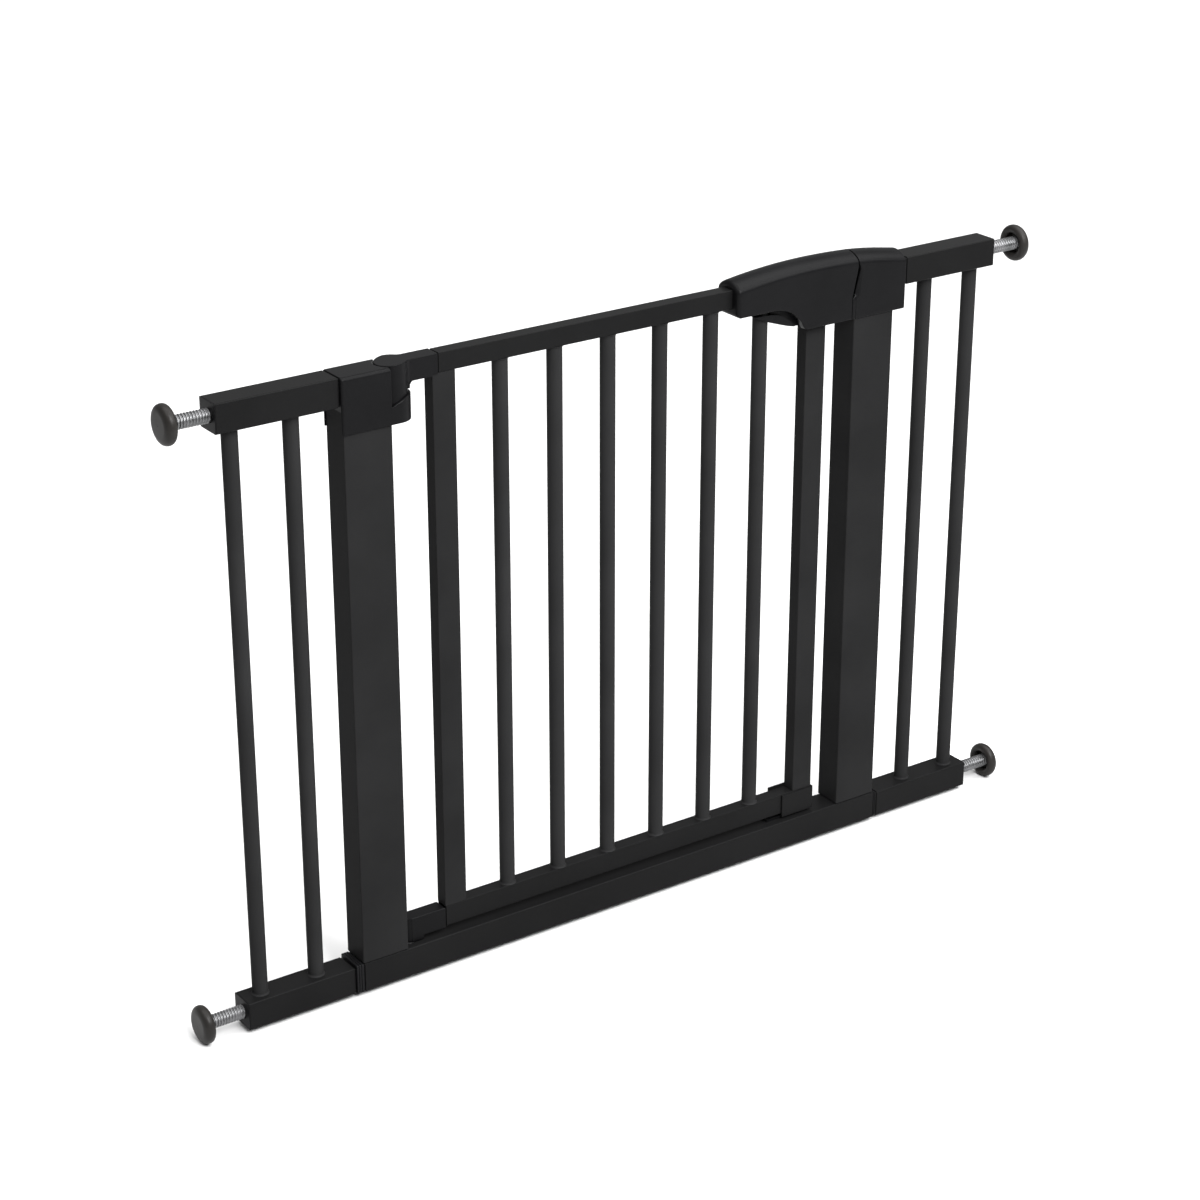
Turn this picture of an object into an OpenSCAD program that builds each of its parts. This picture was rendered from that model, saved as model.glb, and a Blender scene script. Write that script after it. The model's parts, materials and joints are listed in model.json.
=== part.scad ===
// Pressure-fit safety gate: a welded steel U frame, a swinging door and a bar panel on each side.
// Millimetres. +Z is up, X runs across the doorway and -Y is the side facing the viewer.
// X = 0 and Y = 0 are the middle of the gate; Z = 0 is the lowest point of the lower wall pads.

/* [Overall] */
// Height of the upper rails' middle line
rail_top_z = 718; // [650:900]
// Height of the lower rails' middle line
rail_low_z = 22; // [18:40]
// Distance from the middle to the outer face of each wall pad
wall_x = 574; // [560:600]

/* [Side panels] */
// Side of the square rail tube
rail_w = 33; // [25:40]
// Wall of the square rail tube
rail_wall = 1.5; // [1:0.1:2.5]
// Diameter of every upright bar
bar_d = 17.8; // [12:0.1:22]
// Distance between neighbouring bars
bar_pitch = 70.3; // [50:0.1:80]
// Wall of the bar tube
bar_wall = 1.2; // [0.8:0.1:2]

/* [U frame] */
// Side of the base bar tube
base_w = 36; // [30:45]
// Width of each post
post_w = 58.5; // [40:0.5:70]
// Depth of each post
post_d = 37; // [25:45]
// Rounding of the posts' upright edges
post_r = 2.5; // [2:0.5:10]
// Top of the post beside the hinge
hinge_post_top = 686; // [600:800]
// Top of the post beside the lock
lock_post_top = 700; // [600:800]

/* [Door] */
// Middle line of the hinge
hinge_x = -305.5; // [-330:0.5:-280]
// Width of each door stile
stile_w = 28.5; // [20:0.5:40]
// Depth of the door's stiles and rails
door_d = 18; // [14:24]
// Wall of the door's tubes
door_wall = 1.2; // [0.8:0.1:2]
// Underside of the door's lower rail
door_low_z = 48.7; // [46:0.1:70]
// Underside of the door's upper rail
door_top_z = 714; // [650:800]

/* [Hinge] */
// Radius of the upper hinge leg
leg_r = 17.9; // [12:0.1:20]
// Radius of the pocket the leg turns in
cup_r = 18.3; // [12:0.1:21]
// Radius of the upper hinge pin
top_pin_r = 5; // [3:0.5:7]
// Radius of the lower hinge pin
low_pin_r = 4; // [3:0.5:7]
// Gap between a hinge pin and its bore
pin_gap = 0.05; // [0.02:0.01:0.10]

/* [Handle and lock] */
// Half depth of the handle and of both plastic housings
shell_y = 20.5; // [15:0.5:25]
// Highest point of the crowned handle
crown_z = 754; // [740:770]
// Fall of the crown from its middle to its front edge
crown_drop = 9; // [0:12]
// Travel of the release trigger
trigger_travel = 5; // [3:8]

/* [Wall mounting] */
// Diameter of the threaded spindles
spindle_d = 16; // [10:18]
// Radius of the wall pads
pad_r = 22; // [22:0.5:28]
// Inner end of the spindles, measured from the middle
spindle_end_x = 455; // [430:500]

/* [Hidden] */
$fn = 64;

// colours
steel_black = [0.10, 0.10, 0.11];
plastic_black = [0.07, 0.07, 0.075];
zinc = [0.72, 0.73, 0.75];
rubber_black = [0.05, 0.05, 0.05];

// rail ends and panel positions
rail_end_x = 517.8;
plug_face_x = 519;
top_left_in = -376.2;
low_left_in = -384;
top_right_in = 379.8;
low_right_in = 370.5;
rail_r = 2.5;
insert_w = rail_w - 2 * rail_wall - 2 * 0.2;
insert_r = rail_r - rail_wall;
low_rail_top = rail_low_z + rail_w / 2;
top_rail_under = rail_top_z - rail_w / 2;
left_bar_x = [-495.8, -425.5];
right_bar_x = [425.8, 496.1];

// U frame
base_z0 = rail_low_z - rail_w / 2;
base_z1 = base_z0 + base_w;
base_x0 = -373;
base_x1 = 366;
hinge_post_x = -345;
lock_post_x = 334.2;
plug_gap = 0.2;
joint_sq = 24;
socket_sq = joint_sq + 2 * plug_gap;
screw_r = 1.5;
head_r = 3.2;

// door
door_mid_x = 5.3;
door_bar_x = [for (i = [-2.5 : 1 : 2.5]) door_mid_x + i * bar_pitch];
low_rail_h = 26;
top_rail_h = 22.3;
stile_z0 = door_low_z + low_rail_h;
door_end_x = 271;
top_rail_x0 = -253;
top_rail_x1 = 292;
hinge_stile_x = -245.75;
latch_stile_x = 256.65;
arm_y = 10.4;
arm_z0 = 712;
arm_z1 = 736.5;
block_y = 9.8;
block_z1 = base_z1 + 32;
block_step_z = base_z1 + 6;
fork_z0 = base_z1 + 2.8;
fork_h = 29.7;
washer_low_z = base_z1;
washer_top_z = 688;

// handle
crown_x = 250;
crown_base_z = 14;
crown_r = crown_z - crown_base_z;
trigger_y = 12;
bolt_y0 = 12.8;
bolt_y1 = 17.4;
bolt_z0 = 713;
bolt_z1 = 721;
bolt_nose_x = 303.9;
bolt_tail_x = 214;
peg_x = 224;
peg_z = 711;
peg_r = 1.6;
spring_seat_x = 197;
trigger_spring_x = 205;
trigger_spring_z0 = 694;
handle_screw_xz = [[147, 709.6], [284, 688], [240, 739.8]];
hinge_screw_x = [-360, -333];
hinge_screw_z = 679;
lock_screw_x = [320, 348];
lock_screw_z = 687;

handle_outline = [[134, 790], [134, 710], [135.5, 706.5], [139, 705], [190, 705], [196, 703.8],
  [204, 701.6], [210, 699], [218.5, 692.7], [224.8, 686.5], [229.2, 678.6], [230.6, 676],
  [233.2, 674.5], [298, 674.5], [299.6, 676.1], [299.6, 700.5], [307.4, 735.8], [307.4, 790]];
handle_cavity = [[137, 709], [196, 709], [212, 704], [226, 696], [235, 683], [235, 678],
  [296, 678], [296, 703], [303, 736], [303, 737], [137, 737]];
crown_cavity = [[146, 736], [146, 741], [180, 745], [215, 747.5], [285, 747.5], [296, 746],
  [296, 736]];
lock_outline = [[300.4, 674.5], [377, 674.5], [379, 676.5], [379, 790], [309.6, 790],
  [309.6, 735.8], [301.8, 700.5], [300.4, 700.5]];
trigger_outline = [[158, 703], [163, 700], [176, 693.5], [193, 687], [213, 680.4], [228, 677.3],
  [234, 677], [234, 708.5], [158, 708.5]];

// plan of the hinge housing's lower part: a block with a half-round nose about the hinge
cup_outline = concat([[-376, shell_y], [-376, -shell_y]],
  [for (a = [-90 : 7.5 : 90]) [hinge_x + shell_y * cos(a), shell_y * sin(a)]]);
// height of the cup's rim along X; points are [x, z]
rim_curve = [[-317, 690], [-310, 690.6], [-306.5, 692.4], [-303.3, 696], [-299.3, 699],
  [-295, 700.2], [-289, 700.6], [-284, 700.6]];
peg_slot = [for (a = [-45 : 15 : 315]) let (t = a > 135 ? trigger_travel : 0, q = peg_r + 0.2)
  [peg_x - t + q * cos(a), peg_z - t + q * sin(a)]];

// points of one rounded corner, centred on [cx, cy] and starting at angle a0
function corner(cx, cy, r, a0, n) =
  [for (i = [0 : n]) [cx + r * cos(a0 + 90 * i / n), cy + r * sin(a0 + 90 * i / n)]];

// rounded rectangle centred on the origin
function round_rect(w, h, r, n = 5) = concat(
  corner(w / 2 - r, h / 2 - r, r, 0, n),
  corner(r - w / 2, h / 2 - r, r, 90, n),
  corner(r - w / 2, r - h / 2, r, 180, n),
  corner(w / 2 - r, r - h / 2, r, 270, n));

// 2D wall of a rounded rectangular tube
module tube_section(w, h, r, wall) {
  difference() {
    polygon(round_rect(w, h, r));
    polygon(round_rect(w - 2 * wall, h - 2 * wall, max(r - wall, 0.4)));
  }
}

// runs a YZ section along X from x0 to x1, around height z
module along_x(x0, x1, z) {
  translate([x0, 0, z])
    rotate([90, 0, 90])
      linear_extrude(x1 - x0) children();
}

// gives an XZ outline a depth from y0 to y1
module along_y(y0, y1) {
  translate([0, y1, 0])
    rotate([90, 0, 0])
      linear_extrude(y1 - y0) children();
}

module rail_tube(x0, x1, z) {
  along_x(x0, x1, z) tube_section(rail_w, rail_w, rail_r, rail_wall);
}

module square_bar(x0, x1, z, side, r = 0.5) {
  along_x(x0, x1, z) polygon(round_rect(side, side, r));
}

module block(x0, x1, y, z0, z1) {
  translate([x0, -y, z0]) cube([x1 - x0, 2 * y, z1 - z0]);
}

// round hole or rod along Y
module rod_y(x, z, r, y0, y1) {
  translate([x, y1, z]) rotate([90, 0, 0]) cylinder(h = y1 - y0, r = r);
}

// round hole or rod along Z
module rod_z(x, r, z0, z1) {
  translate([x, 0, z0]) cylinder(h = z1 - z0, r = r);
}

module bar_tubes(xs, z0, z1) {
  for (x = xs)
    difference() {
      rod_z(x, bar_d / 2, z0, z1);
      rod_z(x, bar_d / 2 - bar_wall, z0 - 1, z1 + 1);
    }
}

// open wire coil standing on the origin
module coil(r, wire, length, turns) {
  steps = turns * 12;
  sides = 6;
  rise = (length - wire) / steps;
  pts = [for (i = [0 : steps]) for (k = [0 : sides - 1])
    let (a = 30 * i, b = 360 * k / sides, q = r + wire / 2 * cos(b))
      [q * cos(a), q * sin(a), wire / 2 + rise * i + wire / 2 * sin(b)]];
  skin = [for (i = [0 : steps - 1]) for (k = [0 : sides - 1])
    let (a = i * sides + k, b = i * sides + (k + 1) % sides)
      for (f = [[a, b, a + sides], [b, b + sides, a + sides]]) f];
  ends = [[for (k = [sides - 1 : -1 : 0]) k], [for (k = [0 : sides - 1]) steps * sides + k]];
  polyhedron(points = pts, faces = concat(skin, ends));
}

// solid of revolution whose top is the crowned upper surface of handle and lock housing
module crown_drum() {
  n = 10;
  edge = [for (i = [0 : n]) let (y = shell_y * (2 * i / n - 1))
    [crown_r - crown_drop * pow(y / shell_y, 2), y]];
  translate([crown_x, 0, crown_base_z])
    rotate([90, 0, 0])
      rotate_extrude($fn = 480)
        polygon(concat([[400, -shell_y]], edge, [[400, shell_y]]));
}

module crowned(y0, y1) {
  intersection() {
    crown_drum();
    along_y(y0, y1) children();
  }
}

// ---- U frame ----

module base_bar() {
  color(steel_black)
    difference() {
      along_x(base_x0, base_x1, (base_z0 + base_z1) / 2)
        tube_section(base_w, base_w, 2.5, rail_wall);
      rod_z(hinge_x, low_pin_r + pin_gap, base_z1 - 3, base_z1 + 1);
    }
}

// plastic sleeve with shallow ribs between the base bar and the left lower rail
module base_bar_collar() {
  z = (base_z0 + base_z1) / 2;
  color(plastic_black)
    difference() {
      union() {
        square_bar(-383, base_x0, z, base_w - 1.2);
        for (i = [0 : 4])
          along_x(-383 + 2 * i, -381.6 + 2 * i + (i == 4 ? 0.6 : 0), z)
            polygon(round_rect(base_w, base_w, 2));
        square_bar(base_x0 - 1, -345, z, base_w - 2 * rail_wall - 2 * plug_gap, 1.2);
      }
      square_bar(-384, -344, rail_low_z, socket_sq);
    }
}

module base_bar_cap() {
  z = (base_z0 + base_z1) / 2;
  color(plastic_black)
    difference() {
      union() {
        along_x(base_x1, 367.5, z) polygon(round_rect(base_w, base_w, 2.5));
        square_bar(346, base_x1, z, base_w - 2 * rail_wall - 2 * plug_gap, 1.2);
      }
      square_bar(345, 369, rail_low_z, socket_sq);
    }
}

module post(x, top, screws, screw_z) {
  color(steel_black)
    difference() {
      translate([x, 0, base_z1])
        linear_extrude(top - base_z1) tube_section(post_w, post_d, post_r, rail_wall);
      for (sx = screws)
        rod_y(sx, screw_z, screw_r + 0.1, 10, 25);
    }
}

module hinge_post() {
  post(hinge_post_x, hinge_post_top, hinge_screw_x, hinge_screw_z);
}

module lock_post() {
  post(lock_post_x, lock_post_top, lock_screw_x, lock_screw_z);
}

// part of the hinge housing that fits inside the post
module post_spigot() {
  translate([hinge_post_x, 0, 646])
    linear_extrude(hinge_post_top - 646)
      polygon(round_rect(post_w - 2 * rail_wall - 0.7, post_d - 2 * rail_wall - 0.6, 4.2));
}

// upper part of the cup, whose rim climbs from the post round to the nose
module cup_rim() {
  intersection() {
    translate([0, 0, 689]) linear_extrude(12) polygon(cup_outline);
    along_y(-shell_y - 1, shell_y + 1)
      polygon(concat(rim_curve, [[-284, 689], [-317, 689]]));
  }
}

// cap of the left post: carries the panel's upper joiner and the cup the hinge leg turns in
module hinge_housing() {
  color(plastic_black)
    difference() {
      union() {
        block(-376, -316.3, shell_y, 690, 734.5);
        translate([0, 0, 672]) linear_extrude(18) polygon(cup_outline);
        cup_rim();
        post_spigot();
      }
      // the left skirt is cut short below the rail
      block(-377, -374.9, 18.3, 671, 697);
      difference() {
        translate([0, 0, 671])
          linear_extrude(hinge_post_top - 671)
            translate([hinge_post_x, 0]) polygon(round_rect(post_w + 0.6, post_d + 0.6, post_r));
        post_spigot();
      }
      block(-370, -326, 13.7, 645, 700);
      rod_z(hinge_x, cup_r, washer_top_z, 740);
      rod_z(hinge_x, top_pin_r + 0.02, 676, 700);
      square_bar(-377, -351, rail_top_z, socket_sq);
      for (sx = hinge_screw_x) {
        rod_y(sx, hinge_screw_z, screw_r + 0.1, 12, 25);
        rod_y(sx, hinge_screw_z, head_r + 0.3, post_d / 2, 25);
      }
    }
}

// cap of the right post: takes the bolt on one side and the panel's upper joiner on the other
module lock_housing() {
  color(plastic_black)
    difference() {
      crowned(-shell_y, shell_y) polygon(lock_outline);
      translate([lock_post_x, 0, 670])
        linear_extrude(lock_post_top - 670)
          polygon(round_rect(post_w + 0.4, post_d + 0.4, post_r));
      block(366.5, 376, 17, 670, 700);
      block(322, 347, 16, 699, 738);
      square_bar(350, 380, rail_top_z, socket_sq);
      translate([299, 12, 711.5]) cube([19, 6.2, 11]);
      translate([308, 10.4, 709.4]) cube([1.6, 8.7, 15.2]);
      for (sx = lock_screw_x)
        rod_y(sx, lock_screw_z, head_r + 0.3, post_d / 2, 25);
    }
}

module strike_plate() {
  color(zinc)
    difference() {
      translate([308.05, 10.5, 709.5]) cube([1.5, 8.5, 15]);
      translate([307, 12.4, 712]) cube([4, 5.4, 10]);
    }
}

// raised rib on the base bar below the catch fork
module low_stop() {
  color(plastic_black)
    block(205, 262, 6.5, base_z1, base_z1 + 2.5);
}

module upper_hinge_pin() {
  color(zinc)
    rod_z(hinge_x, top_pin_r, 676, 728);
}

// pin with a collar that is welded under the base bar's top wall
module lower_hinge_pin() {
  color(zinc) {
    rod_z(hinge_x, low_pin_r, 25, 63);
    rod_z(hinge_x, 9, base_z1 - rail_wall - 3, base_z1 - rail_wall);
  }
}

// ---- side panels ----

module left_top_rail() {
  color(steel_black) rail_tube(-rail_end_x, top_left_in, rail_top_z);
}

module left_bottom_rail() {
  color(steel_black) rail_tube(-rail_end_x, low_left_in, rail_low_z);
}

module right_top_rail() {
  color(steel_black) rail_tube(top_right_in, rail_end_x, rail_top_z);
}

module right_bottom_rail() {
  color(steel_black) rail_tube(low_right_in, rail_end_x, rail_low_z);
}

module left_bars() {
  color(steel_black) bar_tubes(left_bar_x, low_rail_top, top_rail_under);
}

module right_bars() {
  color(steel_black) bar_tubes(right_bar_x, low_rail_top, top_rail_under);
}

// stepped square sleeve that joins a panel rail to the U frame, drawn from its wide end
module joiner(wide_x, step_x, end_x, z) {
  s = sign(end_x - wide_x);
  color(plastic_black)
    difference() {
      union() {
        square_bar(min(wide_x, step_x), max(wide_x, step_x), z, insert_w, insert_r);
        square_bar(min(step_x, end_x), max(step_x, end_x), z, joint_sq);
      }
      square_bar(min(wide_x, end_x) - 1, max(wide_x, end_x) + 1, z, joint_sq - 5);
    }
}

module joiner_top_left() {
  joiner(-421, top_left_in, -352, rail_top_z);
}

module joiner_bottom_left() {
  joiner(-429, low_left_in, -346, rail_low_z);
}

module joiner_top_right() {
  joiner(425, top_right_in, 351, rail_top_z);
}

module joiner_bottom_right() {
  joiner(415, low_right_in, 347, rail_low_z);
}

// the four wall fixings are drawn pointing along +X and turned for the left side
module to_corner(side, z) {
  translate([0, 0, z]) rotate([0, 0, side < 0 ? 180 : 0]) children();
}

module plug() {
  color(plastic_black)
    difference() {
      union() {
        along_x(rail_end_x, plug_face_x, 0) polygon(round_rect(rail_w, rail_w, rail_r));
        square_bar(rail_end_x - 22, rail_end_x, 0, insert_w, insert_r);
      }
      translate([rail_end_x - 25, 0, 0]) rotate([0, 90, 0])
        cylinder(h = 30, r = spindle_d / 2 + 0.05);
    }
}

// thick rubber foot with a round rim; profile points are [radius, distance from the wall face]
module pad() {
  profile = [[0, 0], [13, 0], [16.5, 0.5], [19, 1.6], [20.8, 3.2], [21.8, 5.4], [pad_r, 7.6],
    [21.7, 9.8], [20.7, 11.7], [19, 13], [17, 13.6], [15, 13.3], [13.2, 12.2], [12.2, 10.4],
    [12, 8.5], [12, 4.5], [5.05, 4.5], [5.05, 1.5], [0, 1.5]];
  color(rubber_black)
    translate([wall_x, 0, 0]) rotate([0, -90, 0])
      rotate_extrude() polygon(profile);
}

module spindle() {
  color(zinc)
    translate([spindle_end_x, 0, 0]) rotate([0, 90, 0]) {
      cylinder(h = wall_x - 4.8 - spindle_end_x, r = spindle_d / 2);
      translate([0, 0, wall_x - 4.8 - spindle_end_x]) cylinder(h = 3, r = 5);
    }
}

module plug_top_left() {
  to_corner(-1, rail_top_z) plug();
}

module plug_bottom_left() {
  to_corner(-1, rail_low_z) plug();
}

module plug_top_right() {
  to_corner(1, rail_top_z) plug();
}

module plug_bottom_right() {
  to_corner(1, rail_low_z) plug();
}

module pad_top_left() {
  to_corner(-1, rail_top_z) pad();
}

module pad_bottom_left() {
  to_corner(-1, rail_low_z) pad();
}

module pad_top_right() {
  to_corner(1, rail_top_z) pad();
}

module pad_bottom_right() {
  to_corner(1, rail_low_z) pad();
}

module spindle_top_left() {
  to_corner(-1, rail_top_z) spindle();
}

module spindle_bottom_left() {
  to_corner(-1, rail_low_z) spindle();
}

module spindle_top_right() {
  to_corner(1, rail_top_z) spindle();
}

module spindle_bottom_right() {
  to_corner(1, rail_low_z) spindle();
}

// ---- door ----

module door_top_rail() {
  color(steel_black)
    along_x(top_rail_x0, top_rail_x1, door_top_z + top_rail_h / 2)
      tube_section(door_d, top_rail_h, 2, door_wall);
}

module door_bottom_rail() {
  color(steel_black)
    along_x(-260, door_end_x, door_low_z + low_rail_h / 2)
      tube_section(door_d, low_rail_h, 2, door_wall);
}

module stile(x) {
  color(steel_black)
    translate([x, 0, stile_z0])
      linear_extrude(door_top_z - stile_z0) tube_section(stile_w, door_d, 2.5, door_wall);
}

module hinge_stile() {
  stile(hinge_stile_x);
}

module latch_stile() {
  stile(latch_stile_x);
}

module door_bars() {
  color(steel_black) bar_tubes(door_bar_x, stile_z0, door_top_z);
}

// upper hinge leaf: a round leg that turns on the pin, an arm and a spigot in the door's rail
module hinge_arm() {
  color(plastic_black)
    difference() {
      union() {
        rod_z(hinge_x, leg_r, washer_top_z + 2, arm_z1);
        block(hinge_x, top_rail_x0 - 0.2, arm_y, arm_z0, arm_z1);
        along_x(top_rail_x0 - 1, -225, door_top_z + top_rail_h / 2)
          polygon(round_rect(door_d - 2.8, top_rail_h - 2.8, 1));
      }
      rod_z(hinge_x, top_pin_r + pin_gap, washer_top_z, 729.5);
      block(-260.3, -250, 12, 700, door_top_z + 0.2);
      block(-286, -256, 7, arm_z0 - 1, arm_z1 - 3);
    }
}

// lower hinge leaf: it sits on the base bar's pin and plugs into the door's lower rail
module lower_hinge_block() {
  z = door_low_z + low_rail_h / 2;
  color(plastic_black)
    difference() {
      union() {
        rod_z(hinge_x, 9.4, base_z1 + 1, block_z1);
        block(hinge_x, -289.3, block_y, base_z1 + 1, block_z1);
        block(-290, -260.2, block_y, block_step_z, block_z1);
        along_x(-261, -232, z)
          polygon(round_rect(door_d - 2.8, low_rail_h - 2.8, 1));
      }
      rod_z(hinge_x, low_pin_r + pin_gap, base_z1, 64);
    }
}

// steel U bracket around the free end of the lower rail
module catch_fork() {
  color(steel_black) {
    translate([225, -11.2, fork_z0]) cube([door_end_x + 2.4 - 225, 2.1, fork_h]);
    translate([219, 9.1, fork_z0]) cube([door_end_x + 2.4 - 219, 2.1, fork_h + 4]);
    translate([door_end_x + 0.2, -9.2, fork_z0]) cube([2.2, 18.4, fork_h]);
  }
}

// ---- handle ----

module rail_and_stile_room() {
  block(130, 310, door_d / 2 + 0.3, door_top_z - 0.3, door_top_z + top_rail_h + 0.3);
  block(242.1, 271.2, door_d / 2 + 0.3, 670, door_top_z);
  rod_z(door_bar_x[5], bar_d / 2 + 0.3, 670, door_top_z);
}

module handle_body(y0, y1) {
  y_in = shell_y - 2.5;
  difference() {
    crowned(y0, y1) polygon(handle_outline);
    difference() {
      union() {
        along_y(-y_in, y_in) polygon(handle_cavity);
        along_y(-13, 13) polygon(crown_cavity);
      }
      for (p = handle_screw_xz)
        rod_y(p[0], p[1], 3.6, -shell_y, shell_y);
      for (x = [160, 289])
        block(x, x + 2, shell_y, door_top_z - 4, 760);
    }
    rail_and_stile_room();
    block(156, 238, trigger_y + 0.5, 670, door_top_z);
    for (p = handle_screw_xz)
      rod_y(p[0], p[1], screw_r + 0.05, -13, 30);
  }
}

module handle_front_shell() {
  color(plastic_black)
    handle_body(-shell_y, -0.05);
}

module handle_back_shell() {
  color(plastic_black) {
    difference() {
      handle_body(0.05, shell_y);
      for (p = handle_screw_xz)
        rod_y(p[0], p[1], head_r + 0.1, shell_y - 2.6, 30);
      translate([285, bolt_y0 - 0.3, bolt_z0 - 0.3])
        cube([30, bolt_y1 - bolt_y0 + 0.6, bolt_z1 - bolt_z0 + 0.6]);
    }
    translate([spring_seat_x - 2.5, bolt_y0, bolt_z0])
      cube([2.5, shell_y - 2 - bolt_y0, bolt_z1 - bolt_z0]);
  }
}

// squeeze paddle under the handle; its ear carries the slanted slot that draws the bolt back
module release_trigger() {
  color(plastic_black)
    difference() {
      union() {
        along_y(-trigger_y, trigger_y) polygon(trigger_outline);
        translate([213, 9.7, 700]) cube([20, trigger_y - 9.7, 18]);
      }
      rod_z(door_bar_x[5], bar_d / 2 + 0.4, 670, 720);
      rod_z(trigger_spring_x, 4, trigger_spring_z0, 720);
      along_y(9, 13) polygon(peg_slot);
    }
}

// flat bolt with a peg that runs in the trigger's slot
module lock_bolt() {
  color(zinc) {
    translate([bolt_tail_x, bolt_y0, bolt_z0])
      cube([bolt_nose_x - bolt_tail_x, bolt_y1 - bolt_y0, bolt_z1 - bolt_z0]);
    translate([peg_x - 5, bolt_y0, 706.5]) cube([10, bolt_y1 - bolt_y0, 8]);
    rod_y(peg_x, peg_z, peg_r, 9.9, bolt_y0 + 1);
  }
}

module bolt_spring() {
  color(zinc)
    translate([spring_seat_x, (bolt_y0 + bolt_y1) / 2, (bolt_z0 + bolt_z1) / 2])
      rotate([0, 90, 0]) coil(1.7, 0.5, bolt_tail_x - spring_seat_x, 6);
}

module trigger_spring() {
  color(zinc)
    translate([trigger_spring_x, 0, trigger_spring_z0])
      coil(3, 0.7, door_top_z - trigger_spring_z0, 6);
}

module handle_screws() {
  color(zinc)
    for (p = handle_screw_xz) {
      rod_y(p[0], p[1], screw_r, -12, shell_y - 2.6);
      rod_y(p[0], p[1], head_r, shell_y - 2.6, shell_y - 0.6);
    }
}

// pan-head screws that pin both plastic housings to the posts from the back
module housing_screws() {
  color(zinc) {
    for (sx = hinge_screw_x) {
      rod_y(sx, hinge_screw_z, screw_r, 13.7, post_d / 2);
      rod_y(sx, hinge_screw_z, head_r, post_d / 2, post_d / 2 + 1.6);
    }
    for (sx = lock_screw_x) {
      rod_y(sx, lock_screw_z, screw_r, 13.7, post_d / 2);
      rod_y(sx, lock_screw_z, head_r, post_d / 2, post_d / 2 + 1.6);
    }
  }
}

module washer(r0, r1, z0, z1) {
  color(zinc)
    difference() {
      rod_z(hinge_x, r1, z0, z1);
      rod_z(hinge_x, r0, z0 - 1, z1 + 1);
    }
}

module upper_thrust_washer() {
  washer(top_pin_r + 0.1, 16, washer_top_z, washer_top_z + 2);
}

module lower_thrust_washer() {
  washer(low_pin_r + 0.1, 8.5, washer_low_z, washer_low_z + 1);
}

base_bar();
base_bar_collar();
base_bar_cap();
hinge_post();
lock_post();
hinge_housing();
lock_housing();
strike_plate();
low_stop();
upper_hinge_pin();
lower_hinge_pin();
left_top_rail();
left_bottom_rail();
left_bars();
right_top_rail();
right_bottom_rail();
right_bars();
joiner_top_left();
joiner_bottom_left();
joiner_top_right();
joiner_bottom_right();
plug_top_left();
plug_bottom_left();
plug_top_right();
plug_bottom_right();
pad_top_left();
pad_bottom_left();
pad_top_right();
pad_bottom_right();
spindle_top_left();
spindle_bottom_left();
spindle_top_right();
spindle_bottom_right();
door_top_rail();
door_bottom_rail();
hinge_stile();
latch_stile();
door_bars();
hinge_arm();
lower_hinge_block();
catch_fork();
handle_front_shell();
handle_back_shell();
release_trigger();
lock_bolt();
bolt_spring();
trigger_spring();
handle_screws();
housing_screws();
upper_thrust_washer();
lower_thrust_washer();
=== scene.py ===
"""Looks of the pressure-fit safety gate: rounded metal, moulded plastic, threads and materials."""
import json
import math

import bmesh
import bpy
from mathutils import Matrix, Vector


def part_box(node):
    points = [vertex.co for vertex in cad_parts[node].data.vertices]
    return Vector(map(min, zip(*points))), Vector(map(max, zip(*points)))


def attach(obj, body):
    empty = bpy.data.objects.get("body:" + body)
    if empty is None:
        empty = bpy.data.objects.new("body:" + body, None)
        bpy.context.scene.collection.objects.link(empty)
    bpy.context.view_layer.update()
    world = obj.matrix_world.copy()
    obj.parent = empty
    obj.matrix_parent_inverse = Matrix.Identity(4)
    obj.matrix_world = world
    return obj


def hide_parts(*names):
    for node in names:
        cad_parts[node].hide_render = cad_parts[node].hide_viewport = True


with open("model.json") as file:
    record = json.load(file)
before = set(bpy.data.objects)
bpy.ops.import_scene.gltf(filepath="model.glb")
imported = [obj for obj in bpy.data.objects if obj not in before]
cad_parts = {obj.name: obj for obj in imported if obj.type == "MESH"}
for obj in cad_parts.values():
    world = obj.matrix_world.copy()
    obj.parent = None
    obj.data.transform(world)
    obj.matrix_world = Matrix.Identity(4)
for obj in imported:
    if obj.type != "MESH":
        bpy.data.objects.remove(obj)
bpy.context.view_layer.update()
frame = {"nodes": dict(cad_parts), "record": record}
scene = bpy.context.scene
MM = 0.001

# ---------------------------------------------------------------- sizes (millimetres)
# outer sizes across the tubes
PANEL_RAIL = 33.0
BASE_BAR = 36.0
POST_WIDTH, POST_DEPTH = 58.5, 37.0
STILE_WIDTH, STILE_DEPTH = 28.5, 18.0
DOOR_RAIL_DEPTH, TOP_RAIL_HEIGHT, BOTTOM_RAIL_HEIGHT = 18.0, 22.3, 26.0
# rounding of the heavy tubes' corners, and the tubes' walls
HEAVY_CORNER = 1.8
HEAVY_WALL, LIGHT_WALL = 1.5, 1.2
# round bars of the panels and the door, the hole each needs, and where they stand along X
BAR_R, BAR_HOLE_R = 8.9, 9.3
LEFT_BARS = (-495.8, -425.5)
RIGHT_BARS = (425.8, 496.1)
BAR_PITCH, DOOR_MIDDLE = 70.3, 5.3
DOOR_BARS = [DOOR_MIDDLE + BAR_PITCH * (k - 2.5) for k in range(6)]
# the bar nearest the latch runs through the trigger
TRIGGER_BAR = DOOR_BARS[-1]
HINGE_X = -305.5
# half the depth of the handle and of both housings
HALF_Y = 20.5


# ---------------------------------------------------------------- outlines (millimetres)
def lo_mm(node):
    """Low corner of a CAD node's box."""
    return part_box(node)[0] / MM


def hi_mm(node):
    """High corner of a CAD node's box."""
    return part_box(node)[1] / MM


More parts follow.
